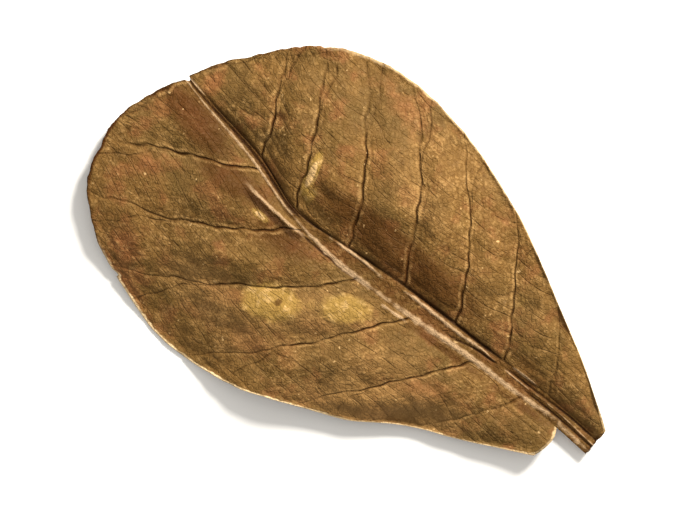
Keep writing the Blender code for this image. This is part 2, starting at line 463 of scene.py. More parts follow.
@dataclass(frozen=True)
class Strands:
    """All strands of the midrib: pale raised ones, whose colour is a painted highlight, and dark sunk ones,
    whose colour is painted shade.
    """

    pale: tuple[Strand, ...] = (
        Strand(
            Course(
                (0.0, 0.020, 0.030, 0.050, 0.070, 0.118, 0.128, 0.140, TIP),
                (-0.62, -0.55, -0.78, -0.70, -0.80, -0.80, -0.50, -0.75, -0.75),
            ),
            Course(
                (0.0, 0.020, 0.040, 0.075, 0.085, 0.095, 0.118, 0.126, 0.135, 0.150, TIP),
                (0.60, 0.60, 1.00, 0.90, 0.60, 0.90, 1.00, 0.60, 0.90, 1.00, 0.70),
            ),
            0.33,
        ),
        Strand(
            Course(
                (0.045, 0.060, 0.070, 0.080, 0.090, 0.100, 0.112), (0.62, 0.50, 0.62, 0.68, 0.50, 0.72, 0.75)
            ),
            Course(
                (0.045, 0.052, 0.060, 0.079, 0.084, 0.092, 0.097, 0.110, 0.117),
                (0.0, 0.70, 1.00, 1.00, 0.30, 0.40, 0.90, 0.70, 0.0),
            ),
            0.20,
        ),
        Strand(
            Course((0.0, 0.020, 0.030, 0.040, 0.050), (0.15, 0.30, 0.25, 0.35, 0.62)),
            Course(
                (0.0, 0.012, 0.020, 0.028, 0.037, 0.041, 0.044, 0.054, 0.058),
                (0.75, 0.75, 0.50, 0.60, 0.75, 0.0, 0.60, 0.60, 0.0),
            ),
            0.10,
        ),
        Strand(
            Course((0.027, 0.039), (1.08, 1.02)),
            Course((0.026, 0.029, 0.036, 0.039), (0.0, 1.0, 1.0, 0.0)),
            0.15,
        ),
        Strand(Course((0.177, TIP), (0.80, 0.80)), Course((0.176, 0.180, TIP), (0.0, 1.0, 1.0)), 0.30),
        Strand(
            Course((0.075, 0.086), (-1.45, -1.55)),
            Course((0.074, 0.077, 0.084, 0.087), (0.0, 0.9, 0.9, 0.0)),
            0.17,
        ),
    )
    dark: tuple[Strand, ...] = (
        Strand(
            Course((0.0, 0.033), (-0.12, -0.12)),
            Course((0.0, 0.020, 0.028, 0.033), (0.80, 0.90, 0.60, 0.0)),
            0.13,
        ),
        Strand(
            Course(
                (0.0, 0.014, 0.020, 0.030, 0.038, 0.044, 0.050, 0.060),
                (0.72, 0.70, 0.60, 0.52, 0.50, 0.30, 0.25, -0.20),
            ),
            Course(
                (0.0, 0.014, 0.020, 0.026, 0.036, 0.040, 0.044, 0.055, 0.062, 0.068),
                (0.80, 1.00, 0.70, 0.80, 1.00, 0.20, 0.80, 0.80, 0.50, 0.0),
            ),
            0.13,
        ),
        Strand(
            Course(
                (0.040, 0.055, 0.075, 0.100, 0.118, 0.130, 0.140, 0.150, TIP),
                (0.95, 0.98, 1.12, 1.08, 0.88, 0.65, 0.90, 0.82, 0.78),
            ),
            Course(
                (0.036, 0.044, 0.060, 0.080, 0.088, 0.100, 0.112, 0.120, 0.135, 0.150, 0.170, 0.180, TIP),
                (0.0, 0.70, 1.00, 0.90, 0.60, 0.80, 0.50, 1.00, 1.00, 0.90, 0.70, 0.50, 0.90),
            ),
            0.20,
        ),
        Strand(
            Course((0.123, 0.134, 0.150, TIP), (0.25, 0.15, 0.15, 0.05)),
            Course((0.122, 0.130, 0.150, 0.165, 0.180, TIP), (0.0, 1.00, 1.00, 0.85, 0.90, 0.70)),
            0.38,
        ),
        # Painted shade along the left flank of the midrib.
        Strand(
            Course((0.090, 0.100, 0.110, 0.121, 0.126), (-1.15, -1.15, -1.30, -1.55, -1.60)),
            Course((0.088, 0.096, 0.118, 0.126), (0.0, 0.70, 0.80, 0.0)),
            0.24,
        ),
    )

    def at(self, leaf_plan: Plan, plan: np.ndarray) -> tuple[np.ndarray, np.ndarray]:
        """How marked the strands are.

        Args:
            leaf_plan: The leaf's plan.
            plan: Plan points.

        Returns:
            Strength of the pale and of the dark strands at each point.
        """
        stations = np.clip(plan[..., 1], BASE, TIP)
        across = (plan[..., 0] - leaf_plan.midrib.at(stations)) / leaf_plan.rib_half_width.at(stations)
        pale = np.max([strand.at(across, stations) for strand in self.pale], axis=0)
        dark = np.max([strand.at(across, stations) for strand in self.dark], axis=0)
        return pale, dark


@dataclass(frozen=True)
class Fold:
    """A straight low fold of the blade, tapered at both ends.

    Attributes:
        start: Plan point where it begins.
        end: Plan point where it ends.
        height: How high it stands, below 0 for a dip.
        width: Its half width.
        taper: Which part of a half wave is left out at each end.
    """

    start: tuple[float, float]
    end: tuple[float, float]
    height: float
    width: float
    taper: float = 0.08

    def at(self, plan: np.ndarray) -> np.ndarray:
        """The height that it adds.

        Args:
            plan: Plan points.

        Returns:
            The height at each point.
        """
        start, end = np.array(self.start), np.array(self.end)
        along = end - start
        t = np.clip(((plan - start) @ along) / (along @ along), 0, 1)
        off = np.linalg.norm(plan - start - t[..., None] * along, axis=-1)
        return self.height * np.sin(np.pi * (self.taper + (1 - 2 * self.taper) * t)) * bell(off, self.width)


@dataclass(frozen=True)
class Tints:
    """Soft patches of colour on the blade, a few of them painted shade and one partly painted light, and how
    strong the margins' painted rim is.

    A patch is its x and y, its half length and half width, its turn in degrees and its strength.
    """

    golden: tuple[Patch, ...] = (
        (-0.0370, 0.1140, 0.0112, 0.0070, -61.0, 1.02),
        (-0.0222, 0.0935, 0.0102, 0.0060, -50.0, 0.84),
        (-0.0290, 0.1030, 0.0070, 0.0045, -50.0, 0.40),
        (-0.0176, 0.1363, 0.0025, 0.0008, 90.0, 3.5),
        (0.0045, 0.1326, 0.0062, 0.0016, 18.0, 2.6),
        (-0.0010, 0.1280, 0.0052, 0.0024, 10.0, 0.65),
        (0.0280, 0.1130, 0.0090, 0.0050, 60.0, 0.35),
        (0.0200, 0.0500, 0.0070, 0.0040, 40.0, 0.4),
    )
    red: tuple[Patch, ...] = (
        (-0.0560, 0.1640, 0.0090, 0.0060, 60.0, 1.0),
        (-0.0300, 0.1760, 0.0080, 0.0050, 120.0, 0.8),
        (-0.0430, 0.0610, 0.0180, 0.0070, 121.0, 0.7),
        (-0.0260, 0.0560, 0.0170, 0.0060, 125.0, 0.75),
        (-0.0520, 0.1110, 0.0130, 0.0060, 100.0, 0.8),
        (-0.0445, 0.1250, 0.0065, 0.0035, -50.0, 1.0),
        (-0.0335, 0.0980, 0.0070, 0.0032, -50.0, 0.9),
        (-0.0075, 0.1770, 0.0130, 0.0042, 82.0, 0.9),
        (-0.0660, 0.1600, 0.0170, 0.0050, 80.0, 0.9),
        (-0.0480, 0.0990, 0.0080, 0.0050, 40.0, 0.6),
        (-0.0150, 0.0260, 0.0120, 0.0050, 60.0, 0.5),
        (0.0060, 0.1790, 0.0060, 0.0040, 0.0, 0.9),
        (0.0430, 0.1250, 0.0200, 0.0060, 80.0, 0.6),
        (0.0180, 0.0750, 0.0100, 0.0060, 50.0, 0.4),
    )
    dark: tuple[Patch, ...] = (
        (-0.0355, 0.1120, 0.0019, 0.0013, -10.0, 2.4),
        (-0.0133, 0.1220, 0.0013, 0.0010, 0.0, 2.2),
        (-0.0080, 0.1740, 0.0160, 0.0065, 82.0, 1.55),
        # Painted shade along the left of the crease, and in the dip above it between the last side vein and
        # the midrib.
        (-0.0190, 0.1240, 0.0170, 0.0064, 100.0, 1.05),
        (-0.0148, 0.1510, 0.0180, 0.0058, 100.0, 1.20),
        # Partly a dark marking of the blade and partly painted shadow of a neighbouring leaf, along the right
        # of the midrib.
        (0.0044, 0.0930, 0.0320, 0.0070, 93.0, 1.85),
        # Painted shade of the valley on the left flank of the midrib.
        (-0.0102, 0.0610, 0.0210, 0.0020, 96.0, 1.15),
        (-0.0071, 0.0290, 0.0140, 0.0020, 97.0, 1.15),
        (-0.0045, 0.0250, 0.0170, 0.0060, 95.0, 0.30),
        (-0.0150, 0.1450, 0.0070, 0.0050, 0.0, 0.30),
        # Partly a dark marking and partly painted shadow of a neighbouring leaf, right of the midrib near the
        # base.
        (0.0050, 0.0350, 0.0220, 0.0045, 84.0, 0.70),
        (-0.0240, 0.1850, 0.0260, 0.0090, 0.0, 0.40),
        (-0.0320, 0.1450, 0.0100, 0.0060, 110.0, 0.35),
        (0.0120, 0.1650, 0.0140, 0.0090, 60.0, 0.25),
    )
    light: tuple[Patch, ...] = (
        (-0.0330, 0.1000, 0.0240, 0.0150, -50.0, 0.75),
        (-0.0280, 0.0720, 0.0200, 0.0100, -45.0, 0.60),
        (-0.0210, 0.1790, 0.0120, 0.0060, 75.0, 0.50),
        (-0.0510, 0.1280, 0.0240, 0.0100, 85.0, 0.80),
        # Partly the lower left's lighter tone, and partly painted light that brightens the margin's slopes
        # where they turn away from the key light.
        (-0.0400, 0.0630, 0.0270, 0.0090, 121.0, 1.35),
        (0.0230, 0.1000, 0.0240, 0.0120, 60.0, 0.50),
        (0.0160, 0.0460, 0.0160, 0.0070, 65.0, 0.40),
        (-0.0100, 0.0270, 0.0120, 0.0040, 70.0, 0.40),
    )

    # The margins' painted rim by station: above 0 a painted highlight along the edge, below 0 painted shade
    # along it.
    left_rim: Course = Course(
        (BASE, 0.0200, 0.0700, 0.0930, 0.1030, 0.1230, TIP), (0.30, 0.60, 1.00, 0.90, 0.30, -0.70, -0.90)
    )
    right_rim: Course = Course((BASE, 0.0600, 0.1200, TIP), (0.60, 0.50, 0.20, -0.80))

    @staticmethod
    def cover(patches: tuple[Patch, ...], plan: np.ndarray) -> np.ndarray:
        """How much the patches cover.

        Args:
            patches: The patches.
            plan: Plan points.

        Returns:
            The strongest cover at each point.
        """
        total = np.zeros(plan.shape[:-1])
        for x, y, length, width, turn, strength in patches:
            c, s = math.cos(math.radians(turn)), math.sin(math.radians(turn))
            along = (plan[..., 0] - x) * c + (plan[..., 1] - y) * s
            aside = (plan[..., 1] - y) * c - (plan[..., 0] - x) * s
            total = np.maximum(total, strength * bell(along, length) * bell(aside, width))
        return total

    def tone(self, plan: np.ndarray) -> np.ndarray:
        """The golden and red cover of each plan point, and its dark cover less its light one."""
        golden, red, dark, light = (
            self.cover(part, plan) for part in (self.golden, self.red, self.dark, self.light)
        )
        return np.stack([golden, red, dark - light], axis=-1)

    def rim(self, half: Half) -> np.ndarray:
        """How strong the painted rim of one half's margin is at each row: a painted highlight above 0,
        painted shade below.
        """
        return (self.left_rim if half.side is Side.LEFT else self.right_rim).at(half.stations)[:, None]


@dataclass(frozen=True)
class Meander:
    """How the side veins stray from the rows, each on a path of its own.

    Attributes:
        zigzags: Height, length and start in turns of each zigzag.
        waves: Height, length and start in turns of each wave.
        turn_of_vein: By how much the turns differ from one vein to the next.
        turn_of_side: By how much they differ between the halves.
        own: Share of the way to the next vein over which one path gives way to the other.
        start: Way from the midrib over which the path sets in.
    """

    zigzags: tuple[tuple[float, float, float], ...] = ((0.0012, 0.0190, 0.31), (0.0006, 0.0074, 0.73))
    waves: tuple[tuple[float, float, float], ...] = ((0.0006, 0.0115, 1.0), (0.0004, 0.0043, 2.0))
    turn_of_vein: float = 3.7
    turn_of_side: float = 1.3
    own: tuple[float, float] = (0.2, 0.8)
    start: float = 0.0060

    def path(self, half: Half, vein: np.ndarray) -> np.ndarray:
        """How far one vein strays.

        Args:
            half: The half's grid.
            vein: Number of the vein at each point of the grid.

        Returns:
            The way towards the tip at each point.
        """
        turn = self.turn_of_vein * vein + self.turn_of_side * half.side.value
        strays = np.zeros(vein.shape)
        for height, length, start in self.zigzags:
            place = np.mod(half.distance / length + start * turn, 1.0)
            strays = strays + height * (np.abs(place * 2 - 1) - 0.5)
        for height, length, start in self.waves:
            strays = strays + height * np.sin(half.distance / length + start * turn)
        return strays

    def at(self, half: Half) -> np.ndarray:
        """How far the veins stray, going over from one path to the next between them.

        Args:
            half: The half's grid.

        Returns:
            The way towards the tip at each point.
        """
        vein = np.floor(half.count)
        share = ramp(half.count - vein, *self.own)
        between = (1 - share) * self.path(half, vein) + share * self.path(half, vein + 1)
        return between * ramp(half.distance, 0.0, self.start)


@dataclass(frozen=True)
class CrossVeins:
    """The cross veins of the net, laid out anew between each two side veins.

    Attributes:
        pitch: Way from one to the next.
        width: Half width of one.
        waves: Height, pace and start in turns of each wave that makes their pitch uneven.
        turn_of_gap: By how much the turns differ from one gap between side veins to the next.
        turn_of_side: By how much they differ between the halves.
        lean: How far they lean, in pitches.
        lean_pace: How fast the lean changes with the turns.
        bow: How far they bow outwards, in pitches.
        gap_shift: Number of the first one in each gap, over that of the gap before.
    """

    pitch: float = 0.0046
    width: float = 0.00075
    waves: tuple[tuple[float, float, float], ...] = ((0.26, 1.7, 1.0), (0.17, 3.3, 1.9))
    turn_of_gap: float = 2.4
    turn_of_side: float = 1.7
    lean: float = 0.55
    lean_pace: float = 2.1
    bow: float = 0.32
    gap_shift: float = 3.0

    def phase(self, half: Half, count: np.ndarray) -> np.ndarray:
        """Place among the cross veins.

        Args:
            half: The half's grid.
            count: Place among the side veins at each point.

        Returns:
            A value that is a whole number on each cross vein.
        """
        gap = np.floor(count)
        within = count - gap
        turn = self.turn_of_gap * gap + self.turn_of_side * half.side.value
        phase = half.distance / self.pitch
        uneven = sum(height * np.sin(pace * phase + start * turn) for height, pace, start in self.waves)
        lean = self.lean * np.sin(self.lean_pace * turn) * (within - 0.5)
        return phase + uneven + lean + self.bow * np.sin(math.pi * within) + self.gap_shift * gap

    def marked(self, phase: np.ndarray) -> np.ndarray:
        """How marked the cross veins are, from 0 to 1."""
        return bell((phase - np.round(phase)) * self.pitch, self.width)


@dataclass(frozen=True)
class Relief:
    """Heights of the leaf: its form, and the finer relief of its veins, net and wrinkles.

    What is sunk is cut into the upper face, and what is raised stands out of the under face. The feet
    are ranges of stations in which a margin comes down to the floor. The midrib counts as 10 millimetres
    away from the margin, so that no rim is drawn on it.
    """

    thickness: float = 0.00052
    edge_thickness: float = 0.00034
    edge_thin_reach: float = 0.0012
    spine: Course = Course((BASE, 0.0200, 0.0600, 0.1050, TIP), (0.0025, 0.0030, 0.0052, 0.0062, 0.0040))
    crown: Course = Course((BASE, 0.0300, 0.0900, 0.1400, TIP), (0.0004, 0.0022, 0.0036, 0.0028, 0.0006))
    crown_skew: float = 0.75
    edge_power: float = 1.7
    undulations: tuple[tuple[float, float, float, float], ...] = (  # height, length in x and y, start
        (0.00060, 0.0120, 0.0210, 1.3),
        (0.00045, -0.0170, 0.0105, 0.4),
        (0.00030, 0.0075, -0.0090, 2.2),
    )
    quilt: float = 0.00165
    quilt_power: float = 1.4
    quilt_skew: float = 0.8
    short_row: float = 0.030
    meander: Meander = Meander()
    least_spacing: float = 0.0040
    vein_width: float = 0.00055
    vein_sunk: float = 0.00040
    vein_raised: float = 0.00060
    vein_fade: float = 0.60
    cross_veins: CrossVeins = CrossVeins()
    net_clearance: float = 0.0012
    net_sunk: float = 0.00018
    net_raised: float = 0.00020
    rib_depth: Course = Course((BASE, 0.0300, 0.1000, 0.1500, TIP), (0.0025, 0.0023, 0.0015, 0.0008, 0.0003))
    rib_grain: Uneven = Uneven(0.00006, 0.0030, 4.4)
    rib_grain_stretch: tuple[float, float] = (4.0, 0.5)
    rib_band_reach: float = 0.0010
    rib_to_margin: float = 10.0
    stub_break: Uneven = Uneven(0.0004, 0.0015, 9.2)
    stub_break_end: float = 0.0020
    stub_dark_reach: float = 0.0012
    ridge: float = 0.00042
    groove: float = 0.00042
    strands: Strands = Strands()
    crease: Course = Course(
        (0.1180, 0.1250, 0.1320, 0.1400, 0.1490), (-0.0128, -0.0132, -0.0132, -0.0130, -0.0123)
    )
    crease_height: float = 0.00075
    crease_width: float = 0.0010
    crease_fade: float = 0.0080
    crease_flank: float = 1.0
    folds: tuple[Fold, ...] = (
        Fold((-0.0020, 0.1305), (0.0105, 0.1345), 0.00060, 0.0016),
        Fold((-0.0060, 0.1180), (0.0050, 0.1090), -0.00070, 0.0017),
        Fold((0.0010, 0.1290), (0.0040, 0.1140), -0.00060, 0.0016),
        Fold((-0.0450, 0.1500), (-0.0290, 0.1250), 0.00045, 0.0018),
        Fold((-0.0600, 0.1300), (-0.0480, 0.1080), -0.00050, 0.0017),
        Fold((-0.0300, 0.1780), (-0.0200, 0.1620), 0.00045, 0.0016),
        Fold((-0.0400, 0.0800), (-0.0250, 0.0700), -0.00045, 0.0016),
        Fold((0.0150, 0.0700), (0.0300, 0.0860), 0.00050, 0.0018),
        Fold((0.0220, 0.1300), (0.0350, 0.1120), -0.00055, 0.0017),
        Fold((0.0100, 0.1600), (0.0180, 0.1480), 0.00050, 0.0016),
    )
    fold_start: float = 0.0020
    wrinkle: Uneven = Uneven(0.00075, 0.0110, 3.1, 3)
    crumple: Uneven = Uneven(0.00060, 0.0150, 7.7)
    pucker: Uneven = Uneven(0.00025, 0.0026, 5.5)
    inner_from_rib: float = 0.0040
    inner_from_margin: float = 0.0030
    edge_curl: float = 0.00100
    edge_curl_reach: float = 0.0018
    edge_curl_change: Uneven = Uneven(0.5, 0.0110, 8.7)
    foot_press: float = 0.00030
    stub_reach: float = 0.0120
    left_foot: tuple[float, float] = (0.0700, 0.0980)
    right_foot: tuple[float, float] = (0.0560, 0.1060)

    def undulation(self, plan: np.ndarray) -> np.ndarray:
        """Long low waves that cross the whole blade."""
        return sum(
            height * np.sin(plan[..., 0] / along_x + plan[..., 1] / along_y + phase)
            for height, along_x, along_y, phase in self.undulations
        )

    def inner(self, half: Half) -> np.ndarray:
        """1 over the blade, falling to 0 at the midrib and at the margin."""
        from_rib = ramp(half.distance, 0.0, self.inner_from_rib)
        return from_rib * ramp(half.to_margin, 0.0, self.inner_from_margin)

    def form(self, half: Half) -> np.ndarray:
        """The blade's large form, from the midrib's height to the margin's.

        Args:
            half: The half's grid.

        Returns:
            The height at each point, crowned, waved, and quilted between the side veins.
        """
        spine = self.spine.at(half.stations)[:, None]
        form = spine + (half.margin_height[:, None] - spine) * half.share**self.edge_power
        form = form + self.crown.at(half.stations)[:, None] * np.sin(np.pi * half.share**self.crown_skew)
        form = form + self.undulation(half.plan) * np.sin(np.pi * np.minimum(half.share, 0.5))
        swell = np.abs(np.sin(np.pi * half.count)) ** self.quilt_power
        swell = swell * np.sin(np.pi * half.share**self.quilt_skew)
        return form + self.quilt * swell * np.minimum(half.reach / self.short_row, 1)[:, None] ** 2

    def wrinkled(self, half: Half) -> np.ndarray:
        """The heights that crease, folds, wrinkles and the curled margin add.

        Args:
            half: The half's grid.

        Returns:
            The height at each point.
        """
        plan, inner = half.plan, self.inner(half)
        folded = self.raised_crease(plan) + sum(fold.at(plan) for fold in self.folds)
        height = folded * ramp(half.distance, 0.0, self.fold_start)
        height = height + inner * (self.wrinkle.at(plan) - np.abs(self.crumple.at(plan)))
        curl = (0.5 + self.edge_curl_change.at(plan)) * bell(half.to_margin, self.edge_curl_reach)
        return height + self.edge_curl * curl * ramp(half.share, 0.0, 0.5)

    def veined(self, half: Half, count: np.ndarray) -> tuple[np.ndarray, np.ndarray, np.ndarray]:
        """How marked the veins are.

        Args:
            half: The half's grid.
            count: Place among the side veins, with their straying.

        Returns:
            Strength of the side veins and of the cross veins, and the place among the cross veins.
        """
        nearest = np.abs(count - np.round(count)) * half.spacing
        alive = (np.round(count) > 0) & (np.round(count) <= half.veins)
        vein = bell(nearest, self.vein_width) * (1 - self.vein_fade * half.share) * alive
        phase = self.cross_veins.phase(half, count)
        net = self.cross_veins.marked(phase) * self.inner(half) * ramp(nearest, 0.0, self.net_clearance)
        return vein, net, phase

    def blade(self, leaf_plan: Plan, half: Half, tints: Tints) -> Strip:
        """One half of the blade.

        Args:
            leaf_plan: The leaf's plan.
            half: The half's grid.
            tints: Patches of colour.

        Returns:
            The half's values, from the midrib's edge out to the margin.
        """
        strays = self.meander.at(half) / np.maximum(half.spacing, self.least_spacing)
        count = np.clip(half.count + strays, 0, half.veins + 1)
        vein, net, phase = self.veined(half, count)
        pale, dark = self.strands.at(leaf_plan, half.plan)
        form = self.form(half) + self.wrinkled(half)
        thin = (self.thickness - self.edge_thickness) * bell(half.to_margin, self.edge_thin_reach)
        top = form + self.thickness - thin + self.inner(half) * self.pucker.at(half.plan)
        top = top + self.ridge * pale - self.groove * dark
        return Strip(
            plan=half.plan,
            under=form - self.vein_raised * vein - self.net_raised * net,
            top=top - self.vein_sunk * vein - self.net_sunk * net,
            place=np.stack([count, half.share, half.side.value * half.distance / MM], axis=-1),
            lines=np.stack([phase, half.spacing / MM, half.to_margin / MM], axis=-1),
            rib=np.stack([pale, dark, bell(half.distance, self.rib_band_reach)], axis=-1),
            marks=self.marks(half.plan, tints.rim(half)),
            tone=tints.tone(half.plan),
        )

    def marks(self, plan: np.ndarray, rim: np.ndarray | float) -> np.ndarray:
        """Where the crease's painted highlight and shade and the margin's painted rim are.

        Args:
            plan: Plan points.
            rim: How strong the margin's painted rim is: a painted highlight above 0, painted shade below.

        Returns:
            Millimetres to the right of the crease, how strongly its painted highlight and shade are drawn
            there, and how strong the margin's painted rim is.
        """
        marked = self.raised_crease(plan, spread=self.crease_flank) / self.crease_height
        off = (plan[..., 0] - self.crease.at(plan[..., 1])) / MM
        return np.stack([off, marked, np.broadcast_to(rim, off.shape)], axis=-1)

    def raised_crease(self, plan: np.ndarray, spread: float = 0.0) -> np.ndarray:
        """The height of the crease that leaves the midrib on the left.

        Args:
            plan: Plan points.
            spread: Width over which the crease is taken instead of its own.

        Returns:
            The height that it adds at each point.
        """
        x, y = plan[..., 0], plan[..., 1]
        first, last = self.crease.stations[0], self.crease.stations[-1]
        part = ramp(y, first, first + self.crease_fade) * (1 - ramp(y, last - self.crease_fade, last))
        return self.crease_height * part * bell(x - self.crease.at(y), spread or self.crease_width)

    def midrib(self, leaf_plan: Plan, stations: np.ndarray, across: np.ndarray) -> Strip:
        """The midrib, round below, with ridges and grooves on top.

        Args:
            leaf_plan: The leaf's plan.
            stations: Stations of the rows.
            across: Places across the midrib, from -1 at its left edge to 1.

        Returns:
            The midrib's values from left to right.
        """
        middle, right = leaf_plan.line(stations)
        half_width = leaf_plan.rib_half_width.at(stations)
        plan = middle[:, None] + (half_width[:, None] * across)[..., None] * right[:, None]
        spine = np.broadcast_to(self.spine.at(stations)[:, None], plan.shape[:-1])
        pale, dark = self.strands.at(leaf_plan, plan)
        slender = np.minimum(half_width / half_width[0], 1)[:, None]
        grain = self.rib_grain.at(plan * self.rib_grain_stretch)
        top = spine + self.thickness + (self.ridge * pale - self.groove * dark) * slender + grain
        under = spine - self.rib_depth.at(stations)[:, None] * np.sqrt(1 - across**2)
        broken = self.stub_break.at(plan) * (1 - ramp(stations, BASE, self.stub_break_end))[:, None]
        near_tip = ramp(stations, TIP - leaf_plan.tip_notch_reach, TIP)[:, None]
        plan[..., 1] += broken - leaf_plan.tip_notch * (1 - across**2) * near_tip
        zero = np.zeros(spine.shape)
        cut = zero + bell(stations - BASE, self.stub_dark_reach)[:, None]
        return Strip(
            plan=plan,
            under=under,
            top=top,
            place=np.stack([zero, zero, zero], axis=-1),
            lines=np.stack([zero, zero + 1, zero + self.rib_to_margin], axis=-1),
            rib=np.stack([pale, dark, zero + 1], axis=-1),
            marks=self.marks(plan, 0.0) * (1.0, 0.0, 0.0),
            tone=np.stack([zero, zero, cut], axis=-1),
        )

    def seated(self, grid: Strip, stations: np.ndarray, columns: int) -> None:
        """Tilts the leaf onto the lowest points of its stub and margins, and presses it flat there.

        Args:
            grid: The whole leaf, changed in place.
            stations: Stations of its rows.
            columns: How many columns each half has.
        """
        row, column = stations[:, None], np.arange(grid.under.shape[1])
        last = len(column) - columns
        feet = (
            (row < self.stub_reach) & (column >= columns) & (column < last),
            (row > self.left_foot[0]) & (row < self.left_foot[1]) & (column < columns // 2),
            (row > self.right_foot[0]) & (row < self.right_foot[1]) & (column >= last + columns // 2),
        )
        points = []
        for foot in feet:
            heights = np.where(foot, grid.under, np.inf)
            place = np.unravel_index(np.argmin(heights), heights.shape)
            points.append([*grid.plan[place], 1.0, heights[place]])
        points = np.array(points)
        slope_x, slope_y, level = np.linalg.solve(points[:, :3], points[:, 3])
        drop = slope_x * grid.plan[..., 0] + slope_y * grid.plan[..., 1] + level + self.foot_press
        pressed = np.maximum(grid.under - drop, 0)
        grid.top = grid.top - grid.under + pressed
        grid.under = pressed


@dataclass
class Leaf:
    """The whole leaf as one closed piece."""

    plan: Plan = field(default_factory=Plan)
    sampling: Sampling = field(default_factory=Sampling)
    relief: Relief = field(default_factory=Relief)
    tints: Tints = field(default_factory=Tints)

    def grid(self) -> tuple[np.ndarray, Strip]:
        """Works out the whole leaf, seated on its feet and centred.

        Returns:
            Stations of the rows, and the grid from the left margin to the right.
        """
        stations = self.sampling.stations(self.plan)
        shares, across = self.sampling.shares(), self.sampling.across()
        left, right = (
            self.relief.blade(self.plan, self.plan.half(side, stations, shares), self.tints) for side in Side
        )
        middle = self.relief.midrib(self.plan, stations, across)
        grid = Strip.joined([left.flipped(), middle, right])
        self.relief.seated(grid, stations, self.sampling.columns)
        kept = np.ones(grid.under.shape, dtype=bool)
        kept[stations < LEFT_BASE, : self.sampling.columns] = False
        used = grid.plan[kept]
        grid.plan = grid.plan - (used.min(axis=0) + used.max(axis=0)) / 2
        return stations, grid

    def shell(self, stations: np.ndarray, shape: tuple[int, int]) -> bpy.types.Mesh:
        """A flat grid with its left base cut away, closed with a copy below it.

        Args:
            stations: Stations of the rows.
            shape: How many rows and columns there are.

        Returns:
            The mesh, with each point's row, column and face in attributes.
        """
        rows, columns = shape
        half = 0.5
        bm = bmesh.new()
        bmesh.ops.create_grid(bm, x_segments=columns - 1, y_segments=rows - 1, size=half)
        row_of, column_of = bm.verts.layers.int.new("row"), bm.verts.layers.int.new("column")
        upper = bm.verts.layers.float.new("upper")
        for vert in bm.verts:
            vert[row_of] = round((vert.co.y + half) * (rows - 1))
            vert[column_of] = round((vert.co.x + half) * (columns - 1))
            vert[upper] = 1.0
        first, side = left_base_row(stations), self.sampling.columns
        missing = [vert for vert in bm.verts if vert[row_of] < first and vert[column_of] < side]
        bmesh.ops.delete(bm, geom=missing, context="VERTS")
        made = bmesh.ops.extrude_face_region(bm, geom=bm.faces[:], use_keep_orig=True)
        below = [item for item in made["geom"] if isinstance(item, bmesh.types.BMVert)]
        for vert in below:
            vert[upper] = 0.0
        bmesh.ops.translate(bm, vec=(0, 0, -self.relief.thickness), verts=below)
        bmesh.ops.recalc_face_normals(bm, faces=bm.faces)
        mesh = bpy.data.meshes.new(PIECE)
        bm.to_mesh(mesh)
        bm.free()
        return mesh

    def build(self) -> bpy.types.Object:
        """Makes the leaf, with its layout in attributes for the material.

        Returns:
            The leaf's object.
        """
        stations, grid = self.grid()
        mesh = self.shell(stations, grid.under.shape)
        picked = {}
        for name, kind in (("row", int), ("column", int), ("upper", float)):
            picked[name] = np.zeros(len(mesh.vertices), dtype=kind)
            mesh.attributes[name].data.foreach_get("value", picked[name])
        at = picked["row"], picked["column"]
        height = np.where(picked["upper"] > 0.5, grid.top[at], grid.under[at])
        mesh.vertices.foreach_set("co", np.column_stack([grid.plan[at], height]).ravel())
        for name in ("place", "lines", "rib", "marks", "tone"):
            layer = mesh.attributes.new(f"leaf_{name}", "FLOAT_VECTOR", "POINT")
            layer.data.foreach_set("vector", getattr(grid, name)[at].ravel())
        for name in ("row", "column"):
            mesh.attributes.remove(mesh.attributes[name])
        mesh.shade_smooth()
        mesh.update()
        leaf = bpy.data.objects.new(PIECE, mesh)
        bpy.context.scene.collection.objects.link(leaf)
        return leaf


class Amount:
    """A number socket that adds Math nodes when it is used in arithmetic."""

    def __init__(self, sheet: "Sheet", socket: bpy.types.NodeSocket) -> None:
        """Wraps one output socket of a sheet."""
        self.sheet = sheet
        self.socket = socket

    def __add__(self, other: "Amount | float") -> "Amount":
        """self + other."""
        return self.sheet.math("ADD", self, other)

    def __sub__(self, other: "Amount | float") -> "Amount":
        """self - other."""
        return self.sheet.math("SUBTRACT", self, other)

    def __rsub__(self, other: float) -> "Amount":
        """other - self."""
        return self.sheet.math("SUBTRACT", other, self)

    def __mul__(self, other: "Amount | float") -> "Amount":
        """self * other."""
        return self.sheet.math("MULTIPLY", self, other)

    def __truediv__(self, other: "Amount | float") -> "Amount":
        """self / other."""
        return self.sheet.math("DIVIDE", self, other)

    __radd__ = __add__
    __rmul__ = __mul__


@dataclass(frozen=True)
class Grain:
    """A noise pattern: the size of its waves, how many finer layers it has and how strong they are."""

    size: float
    detail: float = 2.0
    rough: float = 0.5


@dataclass(frozen=True)
class Band:
    """A smooth step between two thresholds, from a low value to a high one."""

    first: float
    last: float
    low: float = 0.0
    high: float = 1.0


